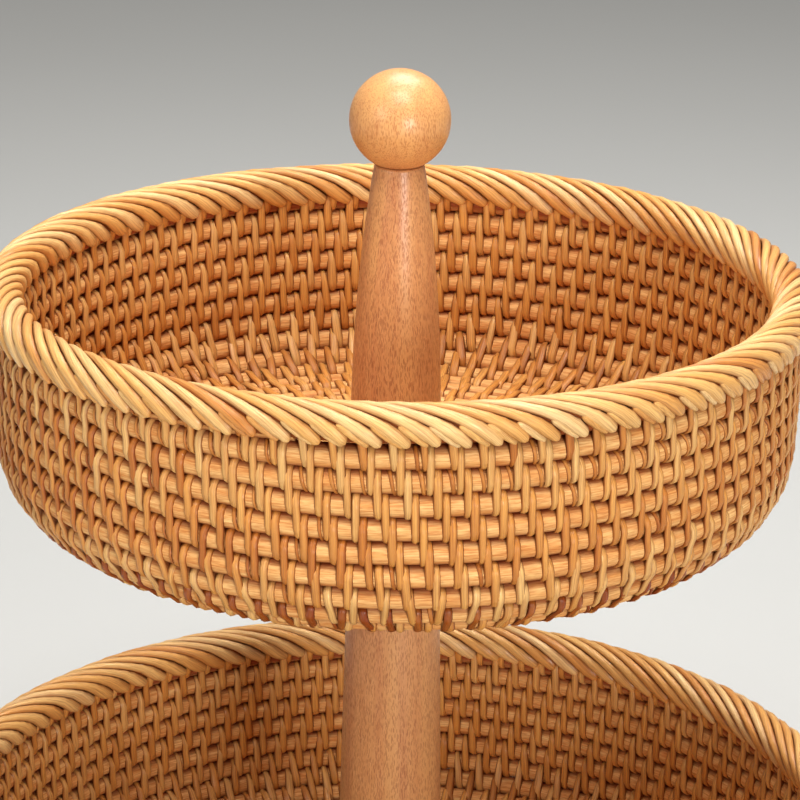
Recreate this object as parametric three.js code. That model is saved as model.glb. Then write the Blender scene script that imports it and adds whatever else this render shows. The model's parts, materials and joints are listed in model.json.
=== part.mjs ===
// Tiered fruit stand: two coiled rattan baskets held on a turned wooden post with a ball on top.
// Millimetres, +Z up. The origin lies on the post's axis, on the table that the stand rests on.
import * as THREE from 'three';

// Baskets
const UPPER_RIM_DIAMETER = 250; // outside of the upper rim
const LOWER_RIM_DIAMETER = 300; // outside of the lower rim
const BASKET_HEIGHT = 74.6; // underside of a basket to the top of its rim
const TIER_SPACING = 176.5; // from the lower basket's underside to the upper basket's
const CORNER_RADIUS = 21.5; // centre line of the courses that turn from the floor into the wall
const WALL_LEAN = 2; // degrees that the wall leans out towards the rim
const CENTRE_SLOPE_WIDTH = 40; // ring over which the floor climbs to its raised centre
const TABLE_CLEARANCE = 1.5; // from the table to the base screw's head

// Coiled rattan
const RATTAN_DIAMETER = 6.2; // the rod that is wound into courses
const STRIP_THICKNESS = 0.8; // the binding strip, which lies between neighbouring courses
const COIL_END_ANGLE = 257; // degrees, where the last course runs out under the rim
const COIL_END_HEIGHT = 1; // what is left of the rod where it is pared away under the rim

// Rims
const RIM_WIDTH = 12.8;
const RIM_HEIGHT = 11;
const RIM_MOUTH = 3.4; // the open underside of the wrapping, where its strands turn in

// Posts and ball
const LOWER_POST_FOOT_DIAMETER = 34.3;
const LOWER_POST_TOP_DIAMETER = 27.5;
const LOWER_POST_SWELL = 1.08; // 1 is a straight taper, and more is a fuller one
const UPPER_POST_FOOT_DIAMETER = 27.7;
const UPPER_POST_NECK_DIAMETER = 15;
const UPPER_POST_LENGTH = 93;
const UPPER_POST_SWELL = 2.3;
const POST_EDGE = 0.8; // the eased edge at a post's ends
const BALL_DIAMETER = 30.5;
const DOWEL_DIAMETER = 8;
const DOWEL_LENGTH = 24;

// Fasteners
const THREAD_DIAMETER = 6;
const THREAD_ENGAGEMENT = 12; // how far the stud and the base screw reach into their inserts
const STUD_GRIP = 28; // how far the stud reaches into the upper post
const INSERT_DIAMETER = 10;
const INSERT_LENGTH = 13;
const SCREW_HEAD_DIAMETER = 12;
const SCREW_HEAD_HEIGHT = 3.3;
const BASE_WASHER_DIAMETER = 30; // above and below the lower floor
const TIER_WASHER_DIAMETER = 25; // above and below the upper floor
const WASHER_THICKNESS = 1.5;
const FIT_GAP = 0.3; // between pieces that seat on or in each other
const HOLE_CLEARANCE = 1; // round a thread where it passes through a floor

// Facets
const COIL_STEPS = 20; // rings of corners in a turn
const CENTRE_STEPS = 10; // half as many in a floor's first turns
const CENTRE_TURNS = 5;
const FLOOR_SIDES = 4;
const WALL_SIDES = 6;
const RIM_STEPS = 36;
const RIM_OUTER_POINTS = 10;
const RIM_INNER_POINTS = 7;
const RIM_CORE_SIDES = 6;
const POST_SIDES = 24;
const FASTENER_SIDES = 16;
const TAPER_POINTS = 8;
const BALL_POINTS = 9;
const GAP_SAMPLES = 4; // points on each edge when the coils' gaps are measured
const BESIDE = 0.1; // a point of the next course lies a turn away, give or take this share of a turn
const LEAST_COIL_GAP = 0.4;

// Worked out from the driving dimensions
const FULL_TURN = 2 * Math.PI;
const COURSE_PITCH = RATTAN_DIAMETER + STRIP_THICKNESS;
const ROD_RADIUS = RATTAN_DIAMETER / 2;
const SQUARE_ROD_HALF = ROD_RADIUS * Math.sqrt(Math.PI) / 2; // a square rod of the round one's area
const BORE_RADIUS = THREAD_DIAMETER / 2 + FIT_GAP;
const FIRST_COURSE_RADIUS = THREAD_DIAMETER / 2 + HOLE_CLEARANCE + ROD_RADIUS;
const CENTRE_RISE = TABLE_CLEARANCE + SCREW_HEAD_HEIGHT + WASHER_THICKNESS + 2 * FIT_GAP;
const CENTRE_TOP = CENTRE_RISE + 2 * SQUARE_ROD_HALF;
const CENTRE_RADIUS = Math.max(LOWER_POST_FOOT_DIAMETER, BASE_WASHER_DIAMETER, TIER_WASHER_DIAMETER) / 2
  + COURSE_PITCH;
const RIM_CENTRE_HEIGHT = BASKET_HEIGHT - RIM_HEIGHT / 2;
const WALL_TOP_HEIGHT = BASKET_HEIGHT - RIM_HEIGHT - FIT_GAP;
const WASHER_SEAT = WASHER_THICKNESS + FIT_GAP; // a washer and the gap under it
const LOWER_POST_FOOT_HEIGHT = CENTRE_TOP + WASHER_SEAT + FIT_GAP;
const LOWER_POST_TOP_HEIGHT = TIER_SPACING + CENTRE_RISE - WASHER_SEAT - FIT_GAP;
const LOWER_POST_LENGTH = LOWER_POST_TOP_HEIGHT - LOWER_POST_FOOT_HEIGHT;
const UPPER_POST_FOOT_HEIGHT = TIER_SPACING + CENTRE_TOP + WASHER_SEAT + FIT_GAP;
const BALL_SEAT_DROP = Math.sqrt((BALL_DIAMETER / 2) ** 2 - (UPPER_POST_NECK_DIAMETER / 2) ** 2);
const BALL_CENTRE_HEIGHT = UPPER_POST_LENGTH + FIT_GAP + BALL_SEAT_DROP; // above the upper post's foot

const rattan = { color: 0xd9a25f, roughness: 0.5, metalness: 0 };
const rimRattan = { color: 0xe6b878, roughness: 0.45, metalness: 0 };
const postWood = { color: 0xc18a60, roughness: 0.5, metalness: 0 };
const ballWood = { color: 0xd9a76c, roughness: 0.4, metalness: 0 };
const zincSteel = { color: 0xb4b6b8, roughness: 0.35, metalness: 1 };
const brass = { color: 0xc9a24c, roughness: 0.35, metalness: 1 };

function piece(name, geometry, finish) {
  const mesh = new THREE.Mesh(geometry, new THREE.MeshStandardMaterial(finish));
  mesh.name = name;
  return mesh;
}

function groupAt(height, ...members) {
  const group = new THREE.Group();
  group.position.z = height;
  group.add(...members);
  return group;
}

// A solid turned about the Z axis from [radius, height] points, given from the bottom round to the top.
function turned(outline, sides) {
  const points = outline.map(([radius, height]) => new THREE.Vector2(radius, height));
  return new THREE.LatheGeometry(points, sides).rotateX(Math.PI / 2);
}

function ring(innerRadius, outerRadius, thickness) {
  const outline = [
    [innerRadius, 0],
    [outerRadius, 0],
    [outerRadius, thickness],
    [innerRadius, thickness],
    [innerRadius, 0],
  ];
  return turned(outline, FASTENER_SIDES);
}

// The line that a basket's courses follow, from the centre of its floor out and up to the rim.
function basketLine(rimDiameter) {
  const lean = THREE.MathUtils.degToRad(WALL_LEAN);
  const topRadius = (rimDiameter - RIM_WIDTH) / 2;
  const cornerHeight = SQUARE_ROD_HALF + CORNER_RADIUS;
  const wallFootHeight = cornerHeight - CORNER_RADIUS * Math.sin(lean);
  const wallRise = WALL_TOP_HEIGHT - wallFootHeight;
  const wallFootRadius = topRadius - wallRise * Math.tan(lean);
  const cornerRadius = wallFootRadius - CORNER_RADIUS * Math.cos(lean);
  const floorLength = cornerRadius - FIRST_COURSE_RADIUS;
  const cornerLength = CORNER_RADIUS * (Math.PI / 2 - lean);
  const wallLength = wallRise / Math.cos(lean);

  function floorAt(along) {
    const radius = FIRST_COURSE_RADIUS + along;
    const climb = THREE.MathUtils.clamp((radius - CENTRE_RADIUS) / CENTRE_SLOPE_WIDTH, 0, 1);
    const height = SQUARE_ROD_HALF + CENTRE_RISE * (1 + Math.cos(Math.PI * climb)) / 2;
    const fall = CENTRE_RISE * Math.sin(Math.PI * climb) * Math.PI / (2 * CENTRE_SLOPE_WIDTH);
    return { radius, height, heading: -Math.atan(fall) };
  }

  function cornerAt(along) {
    const turn = along / CORNER_RADIUS;
    return {
      radius: cornerRadius + CORNER_RADIUS * Math.sin(turn),
      height: cornerHeight - CORNER_RADIUS * Math.cos(turn),
      heading: turn,
    };
  }

  function wallAt(along) {
    return {
      radius: wallFootRadius + along * Math.sin(lean),
      height: wallFootHeight + along * Math.cos(lean),
      heading: Math.PI / 2 - lean,
    };
  }

  function at(along) {
    if (along < floorLength) return floorAt(along);
    if (along < floorLength + cornerLength) return cornerAt(along - floorLength);
    return wallAt(along - floorLength - cornerLength);
  }

  return { at, floorLength, length: floorLength + cornerLength + wallLength };
}

// The corners of a rod's section, as [across the wall, along the basket's line].
function rodSection(sides, radius, firstCorner) {
  const corners = [];
  for (let corner = 0; corner < sides; corner += 1) {
    const angle = (corner + firstCorner) * FULL_TURN / sides;
    corners.push([radius * Math.cos(angle), radius * Math.sin(angle)]);
  }
  return corners;
}

// One ring of tube corners, in the upright plane through the axis at the given angle.
// No corner lies below the basket's flat underside.
function courseRing(place, angle, section) {
  const alongOut = Math.cos(place.heading);
  const alongUp = Math.sin(place.heading);
  return section.map(([across, along]) => {
    const radius = place.radius + across * alongUp + along * alongOut;
    const height = Math.max(0, place.height - across * alongOut + along * alongUp);
    return new THREE.Vector3(radius * Math.cos(angle), radius * Math.sin(angle), height);
  });
}

// Joins rings of corners into one closed tube with flat ends.
function tubeThrough(rings) {
  const sides = rings[0].length;
  const positions = rings.flat().flatMap((corner) => [corner.x, corner.y, corner.z]);
  const triangles = [];
  for (let step = 0; step + 1 < rings.length; step += 1) {
    for (let side = 0; side < sides; side += 1) {
      const here = step * sides + side;
      const beside = step * sides + (side + 1) % sides;
      triangles.push(here, beside + sides, beside, here, here + sides, beside + sides);
    }
  }
  const last = (rings.length - 1) * sides;
  for (let side = 1; side + 1 < sides; side += 1) {
    triangles.push(0, side, side + 1, last, last + side + 1, last + side);
  }
  const geometry = new THREE.BufferGeometry();
  geometry.setAttribute('position', new THREE.Float32BufferAttribute(positions, 3));
  geometry.setIndex(triangles);
  geometry.computeVertexNormals();
  return geometry;
}

// The least distance from a coil to the courses beside it, on points along its edges.
function leastCoilGap(rings, turns) {
  const points = [];
  for (let step = 0; step + 1 < rings.length; step += 1) {
    for (let sample = 0; sample < GAP_SAMPLES; sample += 1) {
      const share = sample / GAP_SAMPLES;
      const turn = THREE.MathUtils.lerp(turns[step], turns[step + 1], share);
      rings[step].forEach((corner, side) => {
        points.push({ turn, at: corner.clone().lerp(rings[step + 1][side], share) });
      });
    }
  }
  let least = Infinity;
  points.forEach((from, index) => {
    for (let next = index + 1; next < points.length; next += 1) {
      const apart = points[next].turn - from.turn;
      if (apart > 1 + BESIDE) break;
      if (apart > 1 - BESIDE) least = Math.min(least, from.at.distanceTo(points[next].at));
    }
  });
  return least;
}

function windCoil(name, rings, turns) {
  const gap = leastCoilGap(rings, turns);
  const verdict = gap > LEAST_COIL_GAP ? 'clear' : 'too close';
  console.log(`${name}: least gap between courses ${gap.toFixed(2)} mm, ${verdict}`);
  return tubeThrough(rings);
}

// The turns at which a coil has a ring of corners, aligned from course to course.
function evenTurns(first, last, steps) {
  const turns = [];
  for (let step = Math.ceil(first * steps); step <= Math.floor(last * steps); step += 1) {
    turns.push(step / steps);
  }
  return turns;
}

// The rod climbs one course pitch a turn. It ends at COIL_END_ANGLE, pared level under the rim.
function basketCoils(tier, rimDiameter) {
  const line = basketLine(rimDiameter);
  const wallSection = rodSection(WALL_SIDES, ROD_RADIUS, 0);
  const halfCourse = Math.max(...wallSection.map(([, along]) => along));
  const endTurn = (line.length + halfCourse - COIL_END_HEIGHT) / COURSE_PITCH;
  const joinTurn = Math.floor(line.floorLength / COURSE_PITCH * COIL_STEPS) / COIL_STEPS;
  const joinGap = FIT_GAP / (FULL_TURN * line.at(line.floorLength).radius);
  const endAngle = THREE.MathUtils.degToRad(COIL_END_ANGLE);
  const angleAt = (turn) => endAngle + (turn - endTurn) * FULL_TURN;
  const placeAt = (turn) => line.at(turn * COURSE_PITCH);

  function paredSection(turn) {
    const room = line.length - turn * COURSE_PITCH + halfCourse;
    const share = Math.min(1, room / (2 * halfCourse));
    return wallSection.map(([across, along]) => [across, (along + halfCourse) * share - halfCourse]);
  }

  const floorTurns = [
    ...evenTurns(0, CENTRE_TURNS, CENTRE_STEPS),
    ...evenTurns(CENTRE_TURNS + 1 / COIL_STEPS, joinTurn, COIL_STEPS),
  ];
  const floorSection = rodSection(FLOOR_SIDES, SQUARE_ROD_HALF * Math.SQRT2, 0.5);
  const floorRings = floorTurns.map((turn) => courseRing(placeAt(turn), angleAt(turn), floorSection));

  const wallTurns = [
    joinTurn + joinGap,
    ...evenTurns(joinTurn + 0.5 / COIL_STEPS, endTurn - 0.5 / COIL_STEPS, COIL_STEPS),
    endTurn,
  ];
  const wallRings = wallTurns.map((turn) => courseRing(placeAt(turn), angleAt(turn), paredSection(turn)));

  const floorName = `${tier}_floor_coil`;
  const wallName = `${tier}_wall_coil`;
  return [
    piece(floorName, windCoil(floorName, floorRings, floorTurns), rattan),
    piece(wallName, windCoil(wallName, wallRings, wallTurns), rattan),
  ];
}

// The rim's core lies in a wrapping that is open below, where the wall's last course meets it.
function rimPieces(tier, rimDiameter) {
  const centreRadius = (rimDiameter - RIM_WIDTH) / 2;
  const core = rodSection(RIM_CORE_SIDES, ROD_RADIUS, 0);
  const coreOutline = [...core, core[0]].map(([out, up]) => [centreRadius + out, RIM_CENTRE_HEIGHT + up]);

  const innerStep = (FULL_TURN / 2) / RIM_INNER_POINTS;
  const innerRadius = (ROD_RADIUS + FIT_GAP) / Math.cos(innerStep);
  const outerMouth = Math.asin(RIM_MOUTH / RIM_WIDTH);
  const innerMouth = Math.asin(RIM_MOUTH / (2 * innerRadius));
  const wrapOutline = [];
  for (let point = 0; point <= RIM_OUTER_POINTS; point += 1) {
    const share = point / RIM_OUTER_POINTS;
    const angle = THREE.MathUtils.lerp(outerMouth, FULL_TURN - outerMouth, share) - Math.PI / 2;
    wrapOutline.push([Math.cos(angle) * RIM_WIDTH / 2, Math.sin(angle) * RIM_HEIGHT / 2]);
  }
  for (let point = RIM_INNER_POINTS; point >= 0; point -= 1) {
    const share = point / RIM_INNER_POINTS;
    const angle = THREE.MathUtils.lerp(innerMouth, FULL_TURN - innerMouth, share) - Math.PI / 2;
    wrapOutline.push([Math.cos(angle) * innerRadius, Math.sin(angle) * innerRadius]);
  }
  wrapOutline.push(wrapOutline[0]);
  const placedWrap = wrapOutline.map(([out, up]) => [centreRadius + out, RIM_CENTRE_HEIGHT + up]);
  return [
    piece(`${tier}_rim_core`, turned(coreOutline, RIM_STEPS), rattan),
    piece(`${tier}_rim_wrap`, turned(placedWrap, RIM_STEPS), rimRattan),
  ];
}

function basket(tier, rimDiameter, height) {
  return groupAt(height, ...basketCoils(tier, rimDiameter), ...rimPieces(tier, rimDiameter));
}

// A post's side, from its foot at height 0 to its top, with eased edges.
function taperedSide(footDiameter, topDiameter, length, swell) {
  const radiusAt = (share) => (footDiameter - (footDiameter - topDiameter) * share ** swell) / 2;
  const side = [[radiusAt(0) - POST_EDGE, 0]];
  for (let point = 0; point <= TAPER_POINTS; point += 1) {
    const height = THREE.MathUtils.lerp(POST_EDGE, length - POST_EDGE, point / TAPER_POINTS);
    side.push([radiusAt(height / length), height]);
  }
  side.push([radiusAt(1) - POST_EDGE, length]);
  return side;
}

function blindBoreAtFoot(radius, depth) {
  return [[0, depth], [radius, depth], [radius, 0]];
}

function blindBoreAtTop(radius, depth, length) {
  return [[radius, length], [radius, length - depth], [0, length - depth]];
}

function lowerPost() {
  const boreRadius = INSERT_DIAMETER / 2 + FIT_GAP;
  const boreDepth = INSERT_LENGTH + FIT_GAP;
  const outline = [
    ...blindBoreAtFoot(boreRadius, boreDepth),
    ...taperedSide(LOWER_POST_FOOT_DIAMETER, LOWER_POST_TOP_DIAMETER, LOWER_POST_LENGTH, LOWER_POST_SWELL),
    ...blindBoreAtTop(boreRadius, boreDepth, LOWER_POST_LENGTH),
  ];
  return piece('lower_post', turned(outline, POST_SIDES), postWood);
}

function upperPost() {
  const outline = [
    ...blindBoreAtFoot(BORE_RADIUS, STUD_GRIP + FIT_GAP),
    ...taperedSide(UPPER_POST_FOOT_DIAMETER, UPPER_POST_NECK_DIAMETER, UPPER_POST_LENGTH, UPPER_POST_SWELL),
    ...blindBoreAtTop(DOWEL_DIAMETER / 2 + FIT_GAP, DOWEL_LENGTH / 2, UPPER_POST_LENGTH),
  ];
  return piece('upper_post', turned(outline, POST_SIDES), postWood);
}

// The ball, about its centre, with a flat seat as wide as the post's neck.
function finialBall() {
  const radius = BALL_DIAMETER / 2;
  const boreRadius = DOWEL_DIAMETER / 2 + FIT_GAP;
  const boreTop = DOWEL_LENGTH / 2 + FIT_GAP - BALL_SEAT_DROP;
  const seatAngle = Math.asin(-BALL_SEAT_DROP / radius);
  const outline = [[0, boreTop], [boreRadius, boreTop], [boreRadius, -BALL_SEAT_DROP]];
  for (let point = 0; point < BALL_POINTS; point += 1) {
    const angle = THREE.MathUtils.lerp(seatAngle, Math.PI / 2, point / BALL_POINTS);
    outline.push([radius * Math.cos(angle), radius * Math.sin(angle)]);
  }
  outline.push([0, radius]);
  return piece('finial_ball', turned(outline, POST_SIDES), ballWood);
}

function rod(name, radius, length, finish) {
  return piece(name, turned([[0, 0], [radius, 0], [radius, length], [0, length]], FASTENER_SIDES), finish);
}

function washer(name, diameter) {
  return piece(name, ring(BORE_RADIUS, diameter / 2, WASHER_THICKNESS), zincSteel);
}

function insert(name) {
  return piece(name, ring(BORE_RADIUS, INSERT_DIAMETER / 2, INSERT_LENGTH), brass);
}

// The screw's head lies under the base washer, and its shank ends in the lower post's foot insert.
function baseScrew() {
  const shankRadius = THREAD_DIAMETER / 2;
  const shankTop = LOWER_POST_FOOT_HEIGHT + THREAD_ENGAGEMENT - TABLE_CLEARANCE;
  const outline = [
    [0, 0],
    [SCREW_HEAD_DIAMETER / 2, 0],
    [SCREW_HEAD_DIAMETER / 2, SCREW_HEAD_HEIGHT],
    [shankRadius, SCREW_HEAD_HEIGHT],
    [shankRadius, shankTop],
    [0, shankTop],
  ];
  return piece('base_screw', turned(outline, FASTENER_SIDES), zincSteel);
}

// The stud is fixed in the upper post and screws into the lower post's top insert.
function joiningStud() {
  const length = UPPER_POST_FOOT_HEIGHT + STUD_GRIP - LOWER_POST_TOP_HEIGHT + THREAD_ENGAGEMENT;
  return rod('joining_stud', THREAD_DIAMETER / 2, length, zincSteel);
}

function lowerTier() {
  const foot = groupAt(
    LOWER_POST_FOOT_HEIGHT,
    lowerPost(),
    insert('lower_post_foot_insert'),
    groupAt(LOWER_POST_LENGTH - INSERT_LENGTH, insert('lower_post_top_insert')),
  );
  return groupAt(
    0,
    basket('lower', LOWER_RIM_DIAMETER, 0),
    groupAt(TABLE_CLEARANCE, baseScrew()),
    groupAt(CENTRE_RISE - WASHER_SEAT, washer('base_washer', BASE_WASHER_DIAMETER)),
    groupAt(CENTRE_TOP + FIT_GAP, washer('foot_washer', BASE_WASHER_DIAMETER)),
    foot,
    groupAt(TIER_SPACING + CENTRE_RISE - WASHER_SEAT, washer('seat_washer', TIER_WASHER_DIAMETER)),
  );
}

function handle() {
  const dowelFoot = UPPER_POST_LENGTH - DOWEL_LENGTH / 2 + FIT_GAP;
  return groupAt(
    UPPER_POST_FOOT_HEIGHT,
    upperPost(),
    groupAt(LOWER_POST_TOP_HEIGHT - THREAD_ENGAGEMENT - UPPER_POST_FOOT_HEIGHT, joiningStud()),
    groupAt(dowelFoot, rod('finial_dowel', DOWEL_DIAMETER / 2, DOWEL_LENGTH, postWood)),
    groupAt(BALL_CENTRE_HEIGHT, finialBall()),
  );
}

const stand = new THREE.Group();
stand.add(
  lowerTier(),
  basket('upper', UPPER_RIM_DIAMETER, TIER_SPACING),
  groupAt(TIER_SPACING + CENTRE_TOP + FIT_GAP, washer('handle_washer', TIER_WASHER_DIAMETER)),
  handle(),
);

export default stand;
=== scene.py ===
import json
import math
import random

import bmesh
import bpy
from mathutils import Color, Matrix, Vector

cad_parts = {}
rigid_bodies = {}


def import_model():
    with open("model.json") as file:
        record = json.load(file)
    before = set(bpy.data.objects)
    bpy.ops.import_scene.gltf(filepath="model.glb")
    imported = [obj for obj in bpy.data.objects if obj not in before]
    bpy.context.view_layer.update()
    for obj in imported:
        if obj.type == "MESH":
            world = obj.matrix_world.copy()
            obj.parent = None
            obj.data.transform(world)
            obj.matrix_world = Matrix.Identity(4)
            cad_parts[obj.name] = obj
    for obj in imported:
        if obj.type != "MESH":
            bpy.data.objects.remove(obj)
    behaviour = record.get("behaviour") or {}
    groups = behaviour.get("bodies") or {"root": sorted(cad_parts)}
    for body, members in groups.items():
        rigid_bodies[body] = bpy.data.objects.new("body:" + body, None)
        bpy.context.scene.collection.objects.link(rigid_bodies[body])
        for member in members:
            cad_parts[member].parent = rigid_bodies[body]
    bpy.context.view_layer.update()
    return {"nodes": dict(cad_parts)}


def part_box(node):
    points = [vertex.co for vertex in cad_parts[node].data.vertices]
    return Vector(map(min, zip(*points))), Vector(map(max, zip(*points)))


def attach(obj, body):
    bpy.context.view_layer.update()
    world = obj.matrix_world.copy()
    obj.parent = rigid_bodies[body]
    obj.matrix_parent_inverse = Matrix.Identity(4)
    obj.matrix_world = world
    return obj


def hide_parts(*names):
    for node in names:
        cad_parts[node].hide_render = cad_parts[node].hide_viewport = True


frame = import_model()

# Coiled rattan, in metres
ROD_RADIUS = 0.00352
PRESSED_ROD_RADIUS = 0.0030  # the floor's first courses are pressed thinner, between the washers
PRESSED_TURNS = 2.0
FULL_ROD_TURN = 4.5  # from here on the rod has its full radius
ROD_SIDES = 16
ROD_STEP = 0.004
COURSE_PITCH = 0.0070
FIRST_COURSE_RADIUS = 0.0071
CENTRE_RADIUS = 0.0243  # flat middle of the floor, under the post
CENTRE_SLOPE_WIDTH = 0.040
CORNER_RADIUS = 0.0215
WALL_LEAN = math.radians(2)
WALL_GAP = 0.0003  # between the wall's top line and the rim
COIL_END_ANGLE = math.radians(257)
COIL_END_RISE = 0.0026  # the last course's centre ends this far past the wall's top line
PARED_HEIGHT = 0.001  # how far the pared course reaches up behind the rim's strands
RIM_SHADE_START = 0.006  # below the rim, where painted shade starts to darken the top course inside
RIM_SHADE_FULL = 0.002

# Binding strips
STRIP_WIDTH = 0.0026
STRIP_THICKNESS = 0.0008
STRIP_SLANT = 0.0008  # sideways, from the top of a stitch to its bottom
STRIP_DIP = 0.00025  # the strip sinks this far between its two courses
# A strip's width on its way down the outside, under its lower course and up the inside
STRIP_SHAPE = ((0.0, 1.09), (0.21, 0.95), (0.5, 0.9), (0.68, 1.2), (0.84, 1.1), (1.0, 0.65))
STRIP_PROFILE = ((-1, 0), (-0.7, 0.65), (0, 1), (0.7, 0.65), (1, 0))
STRIP_KINDS = 4
STRIP_WIDTH_SPREAD = 0.1
STRIP_RUN = (12, 40)  # one strip makes this many stitches
STRIP_TONES = (0.38, 0.52, 0.6, 0.66, 0.72, 0.8, 0.9)
TONE_SPREAD = 0.06
TUCKED_SHARE = 0.1  # what a tucked strip keeps of its height above the rim's middle

# Rows of stitches
STITCHES_PER_TURN = {"upper": 94.26, "lower": 114.26}
EVEN_COURSES = 4.5  # below the rim, stitched more evenly than those further down
UNEVEN_COURSES = 4  # over these the stitches get less even
STITCH_DRIFT = 0.00012  # sideways, and as much again for each uneven course
STITCH_LEAN = 0.01  # radians
STITCH_LEAN_GROWTH = 0.02  # for each uneven course
FLOOR_STITCH_SPACING = 0.0079
FLOOR_STITCH_START = 0.019  # no stitches under the post and its washers
FLOOR_STITCH_DRIFT = 0.0004
STITCH_CHANGE = 0.5  # turns before the floor's end, where the wall's stitches begin
TOP_ROW_LEAN = 0.08  # radians, more than the other rows
TOP_ROW_TONES = (0.3, 0.9)
DARK_ROW = 8.45  # courses below the rim, where a dark strip was used, under a pale one
DARK_ROW_SHARE = 0.9
DARK_ROW_TONES = (0.0, 0.15)
PALE_ROW_TONES = (0.65, 0.95)
WRAP_WIDTH = 0.0013
WRAP_THICKNESS = 0.0005
WRAP_SLANT = 0.0018
WRAP_OFFSET = -0.0013  # a short wrap lies just before the stitch that covers its end
WRAP_SHARE = 0.15  # of the stitches have a wrap beside them, and all of the second row's
WRAP_TONE = 0.6  # in shares of its stitch's tone

# Rims
RIM_WIDTH = 0.0128
RIM_HEIGHT = 0.011
RIM_DROOP = 0.0022  # the rim's underside hangs this far over the wall's top course
RIM_FULLNESS = 0.45  # 0 for an oval underside, 1 for a square one
STRANDS = {"upper": 94, "lower": 114}
STRAND_THICKNESS = 0.0016
STRAND_WIDTH = 0.0039  # on the average: as wide as the room between its neighbours
STRAND_NOSE_WIDTH = 0.0033
STRAND_TAPER = 7  # the outer end narrows over this many half widths
STRAND_ADVANCE = 0.0498  # along the rim, from the inner nose to the outer one
STRAND_CURL = 0.055  # how much flatter a strand runs over the rim's top than at its noses
STRAND_START = math.radians(248)  # round the rim's section, from outward over the top
STRAND_END = math.radians(-49)
STRAND_PROFILE = (-1, -0.8, -0.45, 0, 0.45, 0.8, 1)
STRAND_CROWN = (2.2, 0.6)  # powers of its rounded section, where 2 and 0.5 give an oval
STRAND_STEP = 0.0042
STRAND_LEAST_STEPS = 4
STRAND_KINDS = 5
STRAND_SWAY = 0.06  # in shares of the room between strands
NOSE_STOPS = (0.0, 0.12, 0.4, 1.0)  # from a strand's end, in half widths
NOSE_BLUNTNESS = 0.02
TIP_WIDTH = 0.0026
TIP_NOSE_WIDTH = 0.8 * TIP_WIDTH
TIP_THICKNESS = 0.0013
TIP_SINK = 0.0002
TIP_PLACE = (0.45, 0.65)  # past its strand, in shares of the room between strands
TIP_START = math.radians(10)
TIP_END = math.radians(-59)
BED_OUT = RIM_WIDTH / 2 - STRAND_THICKNESS  # half sizes of the bundle inside the strands
BED_UP = RIM_HEIGHT / 2 - STRAND_THICKNESS
BED_DROOP = 0.6 * RIM_DROOP
BED_SIDES = 24
ANGLE_STEP = 0.01  # radians, for a strand's slope
FRONT = math.radians(270)

# Turned wood
LOWER_POST_FOOT = 0.0343
LOWER_POST_TOP = 0.0275
LOWER_POST_SWELL = 1.08
UPPER_POST_FOOT = 0.0277
UPPER_POST_NECK = 0.015
UPPER_POST_SWELL = 2.3
POST_EDGE = 0.0008
INSERT_BORE = (0.0053, 0.0133)  # radius and depth
STUD_BORE = (0.0033, 0.0283)
DOWEL_BORE = (0.0043, 0.012)
TURNED_SIDES = 96
TAPER_STEPS = 28
EDGE_STEPS = 4
BALL_STEPS = 32
SHARP_ANGLE = math.radians(50)
MERGE_DISTANCE = 1e-7

# Fastenings
THREAD_PITCH = 0.001
THREAD_DEPTH = 0.0006
THREAD_STEPS = 6  # rows in each pitch
THREAD_SIDES = 20
WASHER_EDGE = 0.0003
SCREW_HEAD_HEIGHT = 0.0033
SCREW_HEAD_EDGE = 0.0008
SCREW_EDGE_BULGE = 0.3  # in shares of the edge
SHANK_CLEARANCE = 0.0005
SOCKET_DEPTH = 0.002
SOCKET_FLATS = 0.004  # across the six-sided socket


# Short calls for node trees

def live(sockets):
    return [socket for socket in sockets if socket.enabled and not socket.is_unavailable]


def named(sockets, name):
    return next(socket for socket in live(sockets) if socket.name == name)


def feed(tree, socket, value):
    """Joins a socket to another node's output, or sets its own value."""
    if isinstance(value, bpy.types.NodeSocket):
        tree.links.new(value, socket)
    else:
        socket.default_value = value


def put(tree, kind, inputs=None, output=None, **settings):
    """Adds a node, sets it up, feeds its inputs by name or place, and returns one of its outputs."""
    node = tree.nodes.new(kind)
    for name, value in settings.items():
        setattr(node, name, value)
    for name, value in (inputs or {}).items():
        socket = live(node.inputs)[name] if isinstance(name, int) else named(node.inputs, name)
        feed(tree, socket, value)
    return named(node.outputs, output) if output else live(node.outputs)[0]


def calc(tree, operation, *values):
    return put(tree, "ShaderNodeMath", dict(enumerate(values)), operation=operation)


def times(tree, first, second):
    return calc(tree, "MULTIPLY", first, second)


def join_vector(tree, x, y, z):
    return put(tree, "ShaderNodeCombineXYZ", {"X": x, "Y": y, "Z": z})


def add_sockets(tree, way, kinds):
    for label, kind in kinds.items():
        tree.interface.new_socket(label, in_out=way, socket_type=f"NodeSocket{kind}")


# Geometry trees

def geometry_tree(name, **inputs):
    """A new tree with named inputs. Returns it and the sockets of its inputs."""
    tree = bpy.data.node_groups.new(name, "GeometryNodeTree")
    add_sockets(tree, "INPUT", {"Geometry": "Geometry", **inputs})
    add_sockets(tree, "OUTPUT", {"Geometry": "Geometry"})
    return tree, tree.nodes.new("NodeGroupInput").outputs


def close_tree(tree, geometry, finish):
    whole = put(tree, "GeometryNodeRealizeInstances", {"Geometry": geometry})
    smooth = put(tree, "GeometryNodeSetShadeSmooth", {"Geometry": whole})
    finished = put(tree, "GeometryNodeSetMaterial", {"Geometry": smooth, "Material": finish})
    tree.links.new(finished, tree.nodes.new("NodeGroupOutput").inputs[0])
    return tree


def attribute(tree, name, data_type="FLOAT"):
    return put(tree, "GeometryNodeInputNamedAttribute", {"Name": name}, data_type=data_type)


def keep(tree, geometry, name, value, data_type="FLOAT"):
    inputs = {"Geometry": geometry, "Name": name, "Value": value}
    return put(tree, "GeometryNodeStoreNamedAttribute", inputs, data_type=data_type)


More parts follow.
